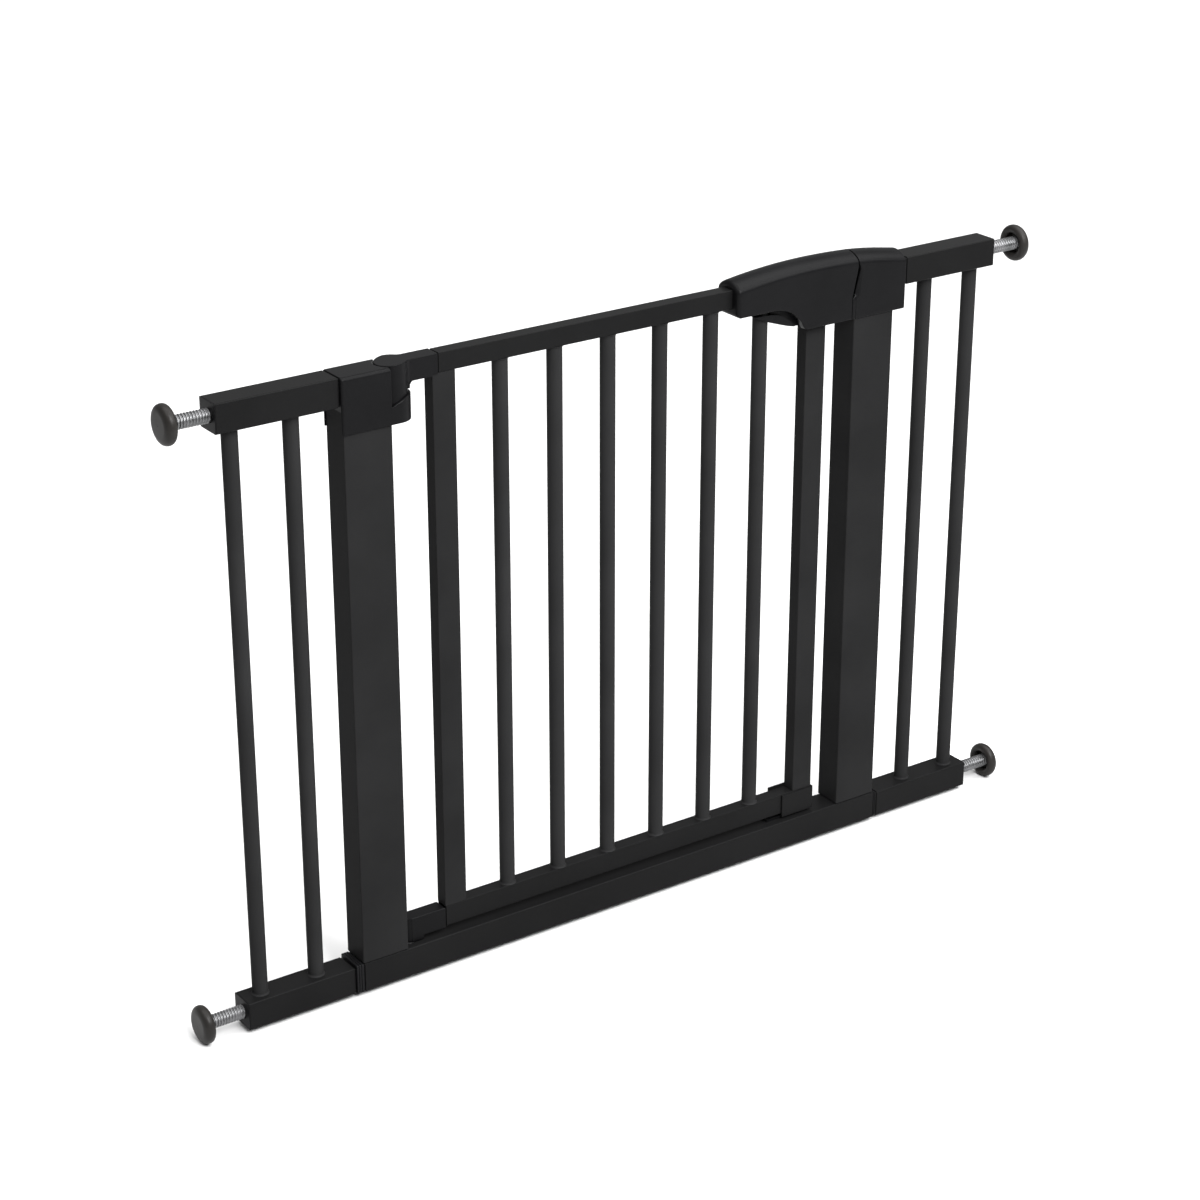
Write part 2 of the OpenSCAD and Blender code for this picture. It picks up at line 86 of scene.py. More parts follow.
def arc(cx, cy, r, a0, a1, n):
    """Points on a circle from angle a0 to a1, in degrees."""
    angles = [math.radians(a0 + (a1 - a0) * i / n) for i in range(n + 1)]
    return [(cx + r * math.cos(a), cy + r * math.sin(a)) for a in angles]


def round_rect(w, h, r, steps=7, bow=0.0, flats=1):
    """Counter-clockwise rounded rectangle; bow drops the long sides' ends below their middle."""
    pts = []
    corners = [(1, 1, 0), (-1, 1, 90), (-1, -1, 180), (1, -1, 270)]
    for k, (sx, sy, a0) in enumerate(corners):
        pts += arc(sx * (w / 2 - r), sy * (h / 2 - r), r, a0, a0 + 90, steps)
        nx, ny, _ = corners[(k + 1) % 4]
        if flats > 1 and sy == ny:
            x0, x1 = sx * (w / 2 - r), nx * (w / 2 - r)
            pts += [(x0 + (x1 - x0) * i / flats, sy * h / 2) for i in range(1, flats)]
    return [(x, y - math.copysign(bow * (2 * x / w) ** 2, y)) for x, y in pts]


def on_axis(axis, t, u, v):
    """A point t along the axis, with u and v across it."""
    return {"x": (t, u, v), "y": (u, t, v), "z": (u, v, t)}[axis]


# ---------------------------------------------------------------- meshes
def skin(rings, loop=False, bm=None):
    """Joins rings of equal length with quads; loop closes it into a hollow form, else it is capped."""
    bm = bm or bmesh.new()
    rows = [[bm.verts.new(Vector(p) * MM) for p in ring] for ring in rings]
    count = len(rows[0])
    pairs = list(zip(rows, rows[1:]))
    if loop:
        pairs.append((rows[-1], rows[0]))
    for a, b in pairs:
        for i in range(count):
            j = (i + 1) % count
            bm.faces.new((a[i], a[j], b[j], b[i]))
    if not loop:
        bm.faces.new(rows[0][::-1])
        bm.faces.new(rows[-1])
    return bm


def tube(axis, a, b, cu, cv, w, h, r, wall, rim=0.4, bow=0.0, flats=1, bm=None):
    """Rounded rectangular tube from a to b, w by h outside and centred on (cu, cv).

    Its ends are softened by rim.
    """
    stations = [(a, rim), (a + 0.3 * rim, 0.3 * rim), (a + rim, 0), (b - rim, 0),
                (b - 0.3 * rim, 0.3 * rim), (b, rim), (b, wall), (a, wall)]
    rings = []
    for t, inset in stations:
        pts = round_rect(w - 2 * inset, h - 2 * inset, max(r - inset, 0.3), bow=bow, flats=flats)
        rings.append([on_axis(axis, t, cu + u, cv + v) for u, v in pts])
    return skin(rings, loop=True, bm=bm)


def lathe(axis, profile, cu, cv, sides=48, loop=True, bm=None):
    """Turns a profile of (radius, distance along the axis) about the axis."""
    rings = []
    for r, t in profile:
        rings.append([on_axis(axis, t, cu + x, cv + y) for x, y in arc(0, 0, r, 0, 360, sides)[:-1]])
    return skin(rings, loop=loop, bm=bm)


def prism(axis, outline, a, b, bm=None):
    """Outline drawn out straight from a to b along the axis."""
    return skin([[on_axis(axis, t, u, v) for u, v in outline] for t in (a, b)], bm=bm)


def box_prism(x0, x1, y0, y1, z0, z1, bm=None):
    return prism("z", [(x0, y0), (x1, y0), (x1, y1), (x0, y1)], z0, z1, bm=bm)


def soften(bm, radius, pick=lambda mid, way: True, steps=3, min_angle=25):
    """Rounds the sharp edges that pick chooses by middle point (mm) and direction."""
    bmesh.ops.recalc_face_normals(bm, faces=bm.faces)
    bm.normal_update()
    chosen = []
    for e in bm.edges:
        if len(e.link_faces) != 2 or e.calc_face_angle(0) < math.radians(min_angle):
            continue
        a, b = (v.co / MM for v in e.verts)
        if pick((a + b) / 2, (b - a).normalized()):
            chosen.append(e)
    bmesh.ops.bevel(bm, geom=chosen, offset=radius * MM, segments=steps, profile=0.5,
                    affect="EDGES", clamp_overlap=True)
    return bm


def as_object(bm, name):
    bmesh.ops.recalc_face_normals(bm, faces=bm.faces)
    mesh = bpy.data.meshes.new(name)
    bm.to_mesh(mesh)
    bm.free()
    ob = bpy.data.objects.new(name, mesh)
    scene.collection.objects.link(ob)
    return ob


def combine(ob, *tools, how="DIFFERENCE"):
    """Cuts other meshes out of an object, or joins them to it, and keeps the result as its mesh."""
    helpers = []
    for tool in tools:
        helper = as_object(tool, ob.name + "_tool")
        helpers.append(helper)
        mod = ob.modifiers.new("tool", "BOOLEAN")
        mod.operation, mod.solver, mod.object = how, "EXACT", helper
    bpy.context.view_layer.update()
    graph = bpy.context.evaluated_depsgraph_get()
    made = bpy.data.meshes.new_from_object(ob.evaluated_get(graph))
    ob.modifiers.clear()
    old = ob.data
    ob.data = made
    bpy.data.meshes.remove(old)
    for helper in helpers:
        bpy.data.objects.remove(helper)
    return ob


def finish_piece(ob, body, nodes, material, crease=32):
    """Gives a piece its material, shading and body, and hides the CAD nodes it stands for."""
    ob.data.materials.clear()
    ob.data.materials.append(material)
    ob.data.polygons.foreach_set("use_smooth", [True] * len(ob.data.polygons))
    ob.data.set_sharp_from_angle(angle=math.radians(crease))
    mod = ob.modifiers.new("normals", "WEIGHTED_NORMAL")
    mod.keep_sharp = True
    mod.weight = 90
    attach(ob, body)
    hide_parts(*nodes)
    return ob


# ---------------------------------------------------------------- materials
def new_material(name):
    """A material with one principled shader, and the object coordinates that its noise uses."""
    mat = bpy.data.materials.new(name)
    mat.use_nodes = True
    nodes, links = mat.node_tree.nodes, mat.node_tree.links
    nodes.clear()
    out = nodes.new("ShaderNodeOutputMaterial")
    shader = nodes.new("ShaderNodeBsdfPrincipled")
    links.new(shader.outputs["BSDF"], out.inputs["Surface"])
    coord = nodes.new("ShaderNodeTexCoord")
    return mat, nodes, links, shader, coord.outputs["Object"]


def noise_node(nodes, links, vector, scale, detail=2.0, rough=0.5):
    n = nodes.new("ShaderNodeTexNoise")
    n.inputs["Scale"].default_value = scale
    n.inputs["Detail"].default_value = detail
    n.inputs["Roughness"].default_value = rough
    links.new(vector, n.inputs["Vector"])
    return n.outputs["Fac"]


def spread(nodes, links, value, low, high):
    """Stretches the middle of a noise value over low to high."""
    m = nodes.new("ShaderNodeMapRange")
    m.inputs["From Min"].default_value = 0.3
    m.inputs["From Max"].default_value = 0.7
    m.inputs["To Min"].default_value = low
    m.inputs["To Max"].default_value = high
    links.new(value, m.inputs["Value"])
    return m.outputs["Result"]


def two_tone(nodes, links, value, dark, light):
    """A colour that drifts between dark and light with a noise value."""
    ramp = nodes.new("ShaderNodeValToRGB")
    ramp.color_ramp.elements[0].position = 0.35
    ramp.color_ramp.elements[1].position = 0.65
    ramp.color_ramp.elements[0].color = (*dark, 1)
    ramp.color_ramp.elements[1].color = (*light, 1)
    links.new(value, ramp.inputs["Fac"])
    return ramp.outputs["Color"]


def bump(nodes, links, height, distance, strength, normal=None):
    b = nodes.new("ShaderNodeBump")
    b.inputs["Distance"].default_value = distance
    b.inputs["Strength"].default_value = strength
    links.new(height, b.inputs["Height"])
    if normal is not None:
        links.new(normal, b.inputs["Normal"])
    return b.outputs["Normal"]


def powder_coat(name, tone, index):
    """Satin black powder coat: fine orange peel, a slow drift of tone and gloss."""
    mat, nodes, links, shader, where = new_material(name)
    peel = noise_node(nodes, links, where, 420, 1.5)
    grain = noise_node(nodes, links, where, 2600, 2.0)
    cloud = noise_node(nodes, links, where, 9, 3.0)
    dark, light = [tuple(tone * k * c for c in (1.0, 1.0, 1.02)) for k in (0.9, 1.12)]
    links.new(two_tone(nodes, links, cloud, dark, light), shader.inputs["Base Color"])
    links.new(spread(nodes, links, cloud, 0.34, 0.42), shader.inputs["Roughness"])
    first = bump(nodes, links, peel, 0.00006, 0.35)
    links.new(bump(nodes, links, grain, 0.00002, 0.3, first), shader.inputs["Normal"])
    shader.inputs["IOR"].default_value = index
    return mat


def moulded_plastic(name, tone):
    """Black moulded plastic with a fine spark texture, a touch bluer than the steel."""
    mat, nodes, links, shader, where = new_material(name)
    spark = noise_node(nodes, links, where, 1500, 2.5, 0.6)
    cloud = noise_node(nodes, links, where, 14, 3.0)
    dark, light = [tuple(tone * k * c for c in (1.0, 1.0, 1.09)) for k in (0.86, 1.16)]
    links.new(two_tone(nodes, links, cloud, dark, light), shader.inputs["Base Color"])
    links.new(spread(nodes, links, cloud, 0.32, 0.40), shader.inputs["Roughness"])
    links.new(bump(nodes, links, spark, 0.00005, 0.35), shader.inputs["Normal"])
    shader.inputs["IOR"].default_value = 1.14
    return mat


def zinc_plate():
    """Dull zinc plating."""
    mat, nodes, links, shader, where = new_material("zinc_plated_steel")
    fine = noise_node(nodes, links, where, 1800, 3.0)
    cloud = noise_node(nodes, links, where, 60, 4.0)
    links.new(two_tone(nodes, links, cloud, (0.13, 0.132, 0.134), (0.20, 0.20, 0.205)),
              shader.inputs["Base Color"])
    links.new(spread(nodes, links, cloud, 0.42, 0.54), shader.inputs["Roughness"])
    links.new(bump(nodes, links, fine, 0.00003, 0.4), shader.inputs["Normal"])
    shader.inputs["Metallic"].default_value = 1.0
    return mat


def rubber():
    """Warm black rubber."""
    mat, nodes, links, shader, where = new_material("pad_rubber")
    fine = noise_node(nodes, links, where, 1300, 3.0)
    cloud = noise_node(nodes, links, where, 40, 3.0)
    links.new(two_tone(nodes, links, cloud, (0.0110, 0.0101, 0.0094), (0.0150, 0.0138, 0.0128)),
              shader.inputs["Base Color"])
    links.new(spread(nodes, links, cloud, 0.36, 0.46), shader.inputs["Roughness"])
    links.new(bump(nodes, links, fine, 0.00006, 0.35), shader.inputs["Normal"])
    shader.inputs["IOR"].default_value = 1.22
    return mat


# one black powder coat in three copies: the uprights (posts and stiles) and the round bars are painted
# lighter than the rails, painted light standing in for how their fronts catch the light
STEEL = powder_coat("powder_coated_rails", 0.0056, 1.11)
UPRIGHT_STEEL_PAINTED_LIGHT = powder_coat("powder_coat_uprights_painted_lighter", 0.0115, 1.05)
BAR_STEEL_PAINTED_LIGHT = powder_coat("powder_coat_bars_painted_lighter", 0.0155, 1.05)
PLASTIC = moulded_plastic("moulded_black_plastic", 0.0034)
COLLAR_PLASTIC = moulded_plastic("moulded_collar_plastic", 0.0062)
ZINC = zinc_plate()
RUBBER = rubber()
LOOKS = {"coated_steel": STEEL, "moulded_plastic": PLASTIC, "zinc_steel": ZINC, "pad_rubber": RUBBER}


def piece(bm, name, body, nodes, slot, crease=32, material=None):
    """Turns a mesh into a finished piece; the slot's own material is used when none is named."""
    return finish_piece(as_object(bm, name), body, nodes, material or LOOKS[slot], crease)


# ---------------------------------------------------------------- side panels and U frame
CORNERS = ("top_left", "bottom_left", "top_right", "bottom_right")
RAILS = ("left_top_rail", "left_bottom_rail", "right_top_rail", "right_bottom_rail")
# length of each rail's necked end, which shows as a dark line
NECKS = {"left_top_rail": 1.6, "left_bottom_rail": 1.8, "right_top_rail": 4.2,
         "right_bottom_rail": 2.4}


def bar_profile(z0, z1):
    """Round bar with a small weld bead where it meets the rail at each end."""
    bead = [(1.3, 0.0), (1.15, 0.45), (0.7, 0.95), (0.25, 1.5), (0.05, 2.2), (0.0, 3.0)]
    low = [(BAR_R + grow, z0 + h) for grow, h in bead]
    high = [(BAR_R + grow, z1 - h) for grow, h in reversed(bead)]
    bore = BAR_R - LIGHT_WALL
    return [(bore, z0)] + low + high + [(bore, z1)]


def round_bars(node, xs):
    """The bars of one CAD node, standing at each x."""
    lo, hi = lo_mm(node), hi_mm(node)
    bm = bmesh.new()
    for x in xs:
        lathe("z", bar_profile(lo.z, hi.z), x, 0, bm=bm)
    return bm


def panel_rail(node):
    """Side panel rail, necked in where it meets its post cap or the base bar."""
    lo, hi = lo_mm(node), hi_mm(node)
    zc = (lo.z + hi.z) / 2
    near, far = (hi.x, lo.x) if "left" in node else (lo.x, hi.x)
    way = 1 if far > near else -1
    neck = NECKS[node]
    stations = [(0, 1.2), (neck, 1.2), (neck, 0.6), (neck + 0.2, 0.2), (neck + 0.6, 0)]
    ends = [(near + way * t, inset) for t, inset in stations]
    ends += [(far - way * 0.5, 0), (far - way * 0.15, 0.15), (far, 0.5), (far, 1.6), (near, 1.6)]
    rings = []
    for x, inset in ends:
        size = PANEL_RAIL - 2 * inset
        pts = round_rect(size, size, max(HEAVY_CORNER - inset, 0.3))
        rings.append([on_axis("x", x, u, zc + v) for u, v in pts])
    return skin(rings, loop=True)


def build_frame():
    """Side panels, base bar and posts."""
    for name in RAILS:
        piece(panel_rail(name), name + "_skin", "frame", [name], "coated_steel")
    for name, xs in (("left_bars", LEFT_BARS), ("right_bars", RIGHT_BARS)):
        piece(round_bars(name, xs), name + "_skin", "frame", [name], "coated_steel",
              material=BAR_STEEL_PAINTED_LIGHT)
    lo, hi = lo_mm("base_bar"), hi_mm("base_bar")
    gap = 0.6
    bm = tube("x", lo.x + gap, hi.x - gap, 0, (lo.z + hi.z) / 2, BASE_BAR, BASE_BAR,
              HEAVY_CORNER, HEAVY_WALL)
    piece(bm, "base_bar_skin", "frame", ["base_bar"], "coated_steel")
    for name in ("hinge_post", "lock_post"):
        lo, hi = lo_mm(name), hi_mm(name)
        foot_gap = 1.0
        bm = tube("z", lo.z + foot_gap, hi.z, (lo.x + hi.x) / 2, 0, POST_WIDTH, POST_DEPTH,
                  1.3, HEAVY_WALL, rim=0.5, bow=0.3, flats=14)
        if name == "hinge_post":
            # tab of the post's left wall that shows in the housing's cut-out
            box_prism(lo.x, lo.x + 0.7, -18.0, 18.0, hi.z - 0.2, 696.6, bm=bm)
        piece(bm, name + "_skin", "frame", [name], "coated_steel", material=UPRIGHT_STEEL_PAINTED_LIGHT)


def build_collar():
    """Ribbed plastic collar at the base bar's left end, with a sleeve inside the bar."""
    lo, hi = lo_mm("base_bar_collar"), hi_mm("base_bar_collar")
    zc = (lo.z + hi.z) / 2
    # one rib as (distance along X, depth below the bar's surface), and the ribs' spacing
    rib = [(0.0, 1.0), (0.1, 0.3), (0.4, 0.0), (2.2, 0.0), (2.5, 0.3), (2.6, 1.0)]
    rib_pitch = 3.1
    bar_end, sleeve_end = -373.4, -345.0
    sleeve_top, sleeve_bore = 1.9, 5.8
    stations = [(lo.x + rib_pitch * k + dx, inset) for k in range(3) for dx, inset in rib]
    stations += [(bar_end, 1.0), (bar_end, sleeve_top), (sleeve_end, sleeve_top),
                 (sleeve_end, sleeve_bore), (lo.x, sleeve_bore)]
    rings = []
    for t, inset in stations:
        size = BASE_BAR - 2 * inset
        pts = round_rect(size, size, max(HEAVY_CORNER - inset, 0.4))
        rings.append([on_axis("x", t, u, zc + v) for u, v in pts])
    piece(skin(rings, loop=True), "base_bar_collar_skin", "frame", ["base_bar_collar"],
          "moulded_plastic", material=COLLAR_PLASTIC)


# ---------------------------------------------------------------- wall fixings
def thread_mesh(x_near, x_far, z):
    """Rod along X with a real helical thread of rounded trapezoid crests."""
    r, cut, pitch = 8.0, 1.3, 3.5
    sides, per_turn = 40, 8
    count = int(abs(x_far - x_near) / pitch * per_turn)
    way = 1 if x_far > x_near else -1
    rings = []

    def depth(phase):
        """0 on a crest, 1 in a groove; the phase counts turns."""
        return 1.0 - min(1.0, max(0.0, (abs(phase % 1.0 - 0.5) - 0.12) / 0.2))

    for i in range(count + 1):
        x = x_near + (x_far - x_near) * i / count
        # the rod thins towards its ends
        lead = min(1.0, i / 6, (count - i) / 6)
        ring = []
        for k in range(sides):
            a = 2 * math.pi * k / sides
            groove = cut * depth(i / per_turn + way * k / sides)
            radius = (r - groove) * (0.86 + 0.14 * lead)
            ring.append((x, radius * math.cos(a), z + radius * math.sin(a)))
        rings.append(ring)
    return skin(rings)


# (radius, distance from the wall face) round the rubber pad, from its centre
PAD = [(0.5, 0.0), (13.0, 0.0), (15.2, 0.2), (17.4, 0.85), (19.2, 1.8), (20.6, 3.1), (21.5, 4.7),
       (21.9, 6.3), (22.0, 7.8), (21.8, 9.4), (21.2, 10.9), (20.2, 12.1), (18.9, 13.0), (17.4, 13.5),
       (16.2, 13.55), (14.9, 13.25), (13.8, 12.7), (12.9, 11.8), (12.3, 10.5), (12.0, 8.8),
       (12.0, 4.6), (11.8, 4.4), (5.1, 4.4), (5.1, 1.6), (0.5, 1.6)]


def plug_mesh(side, x_in, x_out, x_rail, z):
    """Square end plug of a rail with a round hole that the spindle runs through."""
    # (x, width, corner radius) of each square section, from inside the rail to the outer face
    squares = [(x_in, 28.4, 1.2), (x_in + 0.8, 29.6, 1.5), (x_rail, 29.6, 1.5),
               (x_rail, 32.4, 1.5), (x_rail + 0.25, PANEL_RAIL, 1.6),
               (x_out - 0.5, PANEL_RAIL, 1.6), (x_out - 0.15, 32.7, 1.5), (x_out, 32.0, 1.3)]
    # (x, radius) of the hole, from the outer face inwards
    circles = [(x_out, 9.2), (x_out - 0.2, 8.6), (x_out - 0.8, 8.25), (x_in, 8.25)]
    steps = 9
    rings = [[(side * x, u, z + v) for u, v in round_rect(w, w, r, steps=steps)]
             for x, w, r in squares]
    aims = [math.atan2(v, u) for u, v in round_rect(PANEL_RAIL, PANEL_RAIL, 1.6, steps=steps)]
    rings += [[(side * x, r * math.cos(t), z + r * math.sin(t)) for t in aims]
              for x, r in circles]
    return skin(rings, loop=True)


def build_fixings():
    """Pad, threaded spindle and rail plug at each corner."""
    for corner in CORNERS:
        side = -1 if "left" in corner else 1
        lo, hi = lo_mm("pad_" + corner), hi_mm("pad_" + corner)
        z = (lo.z + hi.z) / 2
        face = max(abs(lo.x), abs(hi.x))
        bm = lathe("x", [(r, side * (face - d)) for r, d in PAD], 0, z, sides=72)
        piece(bm, "pad_%s_skin" % corner, "pad_%s_body" % corner, ["pad_" + corner], "pad_rubber")
        lo, hi = lo_mm("spindle_" + corner), hi_mm("spindle_" + corner)
        near, far = sorted((abs(lo.x), abs(hi.x)))
        neck_length = 3.4
        bm = thread_mesh(side * near, side * (far - neck_length), z)
        neck = [(4.2, far - 3.6), (4.9, far - 3.3), (4.9, far - 0.6), (4.3, far - 0.1)]
        lathe("x", [(r, side * x) for r, x in neck], 0, z, loop=False, bm=bm)
        piece(bm, "spindle_%s_thread" % corner, "spindle_%s_body" % corner,
              ["spindle_" + corner], "zinc_steel", crease=50)
        lo, hi = lo_mm("plug_" + corner), hi_mm("plug_" + corner)
        near, far = sorted((abs(lo.x), abs(hi.x)))
        flange = 1.2
        bm = plug_mesh(side, near, far, far - flange, z)
        piece(bm, "plug_%s_skin" % corner, "frame", ["plug_" + corner], "moulded_plastic")


# ---------------------------------------------------------------- door
def build_door():
    """Door frame: two rails, two stiles and the bars."""
    seam = 0.9
    for name, height in (("door_top_rail", TOP_RAIL_HEIGHT), ("door_bottom_rail", BOTTOM_RAIL_HEIGHT)):
        lo, hi = lo_mm(name), hi_mm(name)
        bm = tube("x", lo.x + seam, hi.x, 0, (lo.z + hi.z) / 2, DOOR_RAIL_DEPTH, height, 1.1,
                  LIGHT_WALL)
        piece(bm, name + "_skin", "door", [name], "coated_steel")
    for name in ("hinge_stile", "latch_stile"):
        lo, hi = lo_mm(name), hi_mm(name)
        bm = tube("z", lo.z, hi.z, (lo.x + hi.x) / 2, 0, STILE_WIDTH, STILE_DEPTH, 1.0,
                  LIGHT_WALL, rim=0.3, bow=0.3, flats=10)
        piece(bm, name + "_skin", "door", [name], "coated_steel", material=UPRIGHT_STEEL_PAINTED_LIGHT)
    piece(round_bars("door_bars", DOOR_BARS), "door_bars_skin", "door", ["door_bars"],
          "coated_steel", material=BAR_STEEL_PAINTED_LIGHT)


def build_fork():
    """Pressed steel U bracket round the door's free lower corner; its back leg is taller."""
    lo, hi = lo_mm("catch_fork"), hi_mm("catch_fork")
    sheet, half = 2.0, 11.2
    bend = 2.6
    x0, x1 = 225.0, hi.x
    # the back leg starts further from the corner than the front one
    x_back = x0 - 6
    z_front = lo.z + 29.7
    outer = [(x0, -half)] + arc(x1 - bend, -half + bend, bend, -90, 0, 6) \
        + arc(x1 - bend, half - bend, bend, 0, 90, 6) + [(x_back, half)]
    inner = [(x_back, half - sheet)] + arc(x1 - bend, half - bend, bend - sheet, 90, 0, 4) \
        + arc(x1 - bend, -half + bend, bend - sheet, 0, -90, 4) + [(x0, -half + sheet)]
    bm = prism("z", outer + inner, lo.z, z_front)
    soften(bm, 0.45, lambda mid, way: abs(way.z) < 0.5, steps=2)
    ear_r = 3
    ear = [(x_back, lo.z + 0.2), (x1 - ear_r, lo.z + 0.2), (x1 - ear_r, hi.z - ear_r)] \
        + arc(x1 - 2 * ear_r, hi.z - ear_r, ear_r, 0, 90, 5) + [(x_back, hi.z)]
    prism("y", ear, half - sheet + 0.1, half - 0.1, bm=bm)
    piece(bm, "catch_fork_skin", "door", ["catch_fork"], "coated_steel")


# ---------------------------------------------------------------- hinge
# height of the cup's rim along X
RIM = [(-317.0, 690.0), (-310.0, 690.6), (-306.5, 692.4), (-303.3, 696.0), (-299.3, 699.0),
       (-295.0, 700.2), (-289.0, 700.6), (-284.0, 700.6)]
RIM_LOW = RIM[0][1]


def along(points, x):
    """Height of a broken line at x."""
    for (xa, za), (xb, zb) in zip(points, points[1:]):
        if x <= xb:
            return za + (zb - za) * max(0.0, x - xa) / (xb - xa)
    return points[-1][1]


def housing_ring(x0, half, z, share=None, iy=0.0, ix=0.0, lip=0.0):
    """One level of the hinge housing: left corners, then the round nose or the straight right face.

    With a share, the nose stands at that part of the way up to its climbing rim.
    """
    right, corner, steps = -316.3, 2.6, 40
    y = half - iy
    ring = [(px, py, z) for px, py in arc(x0 + ix + corner, y - corner, corner, 90, 180, 6)
            + arc(x0 + ix + corner, corner - y, corner, 180, 270, 6)]
    if share is not None:
        ring.append((right, -y, z))
        for k in range(steps + 1):
            phi = math.radians(-90 + 180 * k / steps)
            x = HINGE_X + (y - lip * math.cos(phi)) * math.cos(phi)
            top = z + share * (along(RIM, x) - RIM_LOW)
            ring.append((x, (y - lip * math.cos(phi)) * math.sin(phi), top))
        ring.append((right, y, z))
    else:
        face = arc(right - ix - 1, 1 - y, 1, -90, 0, 5)
        straight = steps - 8
        face += [(right - ix, (1 - y) + (2 * y - 2) * k / straight) for k in range(1, straight)]
        face += arc(right - ix - 1, y - 1, 1, 0, 90, 5)
        ring += [(px, py, z) for px, py in face]
    return ring


def build_hinge_housing():
    """Cap of the left post with the cup that the hinge leg turns in."""
    lo, hi = lo_mm("hinge_housing"), hi_mm("hinge_housing")
    x0, half, z0, z1 = lo.x, HALF_Y, 672.0, hi.z
    pocket_r, top_r = 18.3, 4.6
    rings = [housing_ring(x0, half, z0, 0.0, iy=0.5, ix=0.5),
             housing_ring(x0, half, z0 + 0.15, 0.0, iy=0.15, ix=0.15),
             housing_ring(x0, half, z0 + 0.5, 0.0),
             housing_ring(x0, half, 680.0, 0.3),
             housing_ring(x0, half, RIM_LOW - 0.6, 1.0),
             housing_ring(x0, half, RIM_LOW - 0.2, 1.0, lip=0.2),
             housing_ring(x0, half, RIM_LOW, 1.0, lip=0.7),
             housing_ring(x0, half, RIM_LOW + 1.0)]
    steps = 7
    for k in range(steps + 1):
        t = math.radians(90 * k / steps)
        rings.append(housing_ring(x0, half, z1 - top_r * (1 - math.sin(t)),
                                  iy=top_r * (1 - math.cos(t)), ix=1.2 * (1 - math.cos(t))))
    ob = as_object(skin(rings), "hinge_housing_skin")
    mouth_r = pocket_r + 1.1
    bore = [(pocket_r, 688.0), (pocket_r, 708.0), (mouth_r, 709.5), (mouth_r, z1 - 0.4),
            (mouth_r + 0.4, z1), (mouth_r + 0.4, z1 + 3)]
    # the skirt stands clear of the post and is cut short on the left, below the rail
    post_x, room = -345.5, 0.6
    post = [(post_x + u, v) for u, v in round_rect(POST_WIDTH + room, POST_DEPTH + room, 2.4)]
    combine(ob, lathe("z", bore, HINGE_X, 0, sides=96, loop=False), prism("z", post, 665.0, 686.0),
            box_prism(-380, -374.0, -18.4, 18.4, 660, 697))
    finish_piece(ob, "frame", ["hinge_housing"], PLASTIC)


def build_hinge_arm():
    """Upper hinge leaf: a round leg that runs into the arm."""
    r, half, z0, z1, x1 = 17.9, 10.4, 712.0, 736.5, -253.4
    # small enough for the blend to pass the housing when the door stands open
    fillet = 9.0
    # centre of the concave blend between the leg's circle and the arm's side
    yc = half + fillet
    xc = HINGE_X + math.sqrt((r + fillet) ** 2 - yc ** 2)
    a = math.degrees(math.atan2(yc, xc - HINGE_X))
    plan = arc(HINGE_X, 0, r, a, 360 - a, 90)
    plan += arc(xc, -yc, fillet, 180 - a, 90, 16)[1:]
    plan += [(x1, -half), (x1, half)]
    plan += arc(xc, yc, fillet, -90, -180 + a, 16)[:-1]
    bm = prism("z", plan, z0, z1)
    soften(bm, 1.2, lambda m, w: abs(w.z) > 0.9 and m.x > -256, steps=3)
    soften(bm, 2.6, lambda m, w: m.z > z1 - 0.1, steps=5, min_angle=50)
    soften(bm, 1.0, lambda m, w: m.z < z0 + 0.1 and m.x > xc, steps=3, min_angle=50)
    # the disc's left side slopes down to meet the housing's top
    slope, depth = 2.0, 4
    for v in bm.verts:
        x, z = v.co.x / MM, v.co.z / MM
        side = min(1.0, max(0.0, (HINGE_X - x) / r))
        v.co.z -= slope * MM * side * min(1.0, max(0.0, (z - z1 + depth) / depth))
    # the leg is a hair thinner than the disc, so that their faces never coincide
    inside = r - 0.03
    leg = lathe("z", [(r - 1.0, 690.0), (r - 0.3, 690.3), (inside, 691.0), (inside, 724.0)],
                HINGE_X, 0, sides=120, loop=False)
    ob = as_object(bm, "hinge_arm_skin")
    combine(ob, leg, how="UNION")
    # a rounded gusset under the arm, and a step at its end that takes the door's rail
    web = [(HINGE_X, 713.0), (-281.0, 713.0)] + arc(-281.6, 706.0, 6.0, 90, 180, 8)
    web += [(-287.6, 704.0), (HINGE_X, 704.0)]
    combine(ob, prism("y", web, -half + 1.4, half - 1.4), how="UNION")
    combine(ob, box_prism(-260.3, -250, -12, 12, 700, 714.2))
    finish_piece(ob, "door", ["hinge_arm"], PLASTIC)


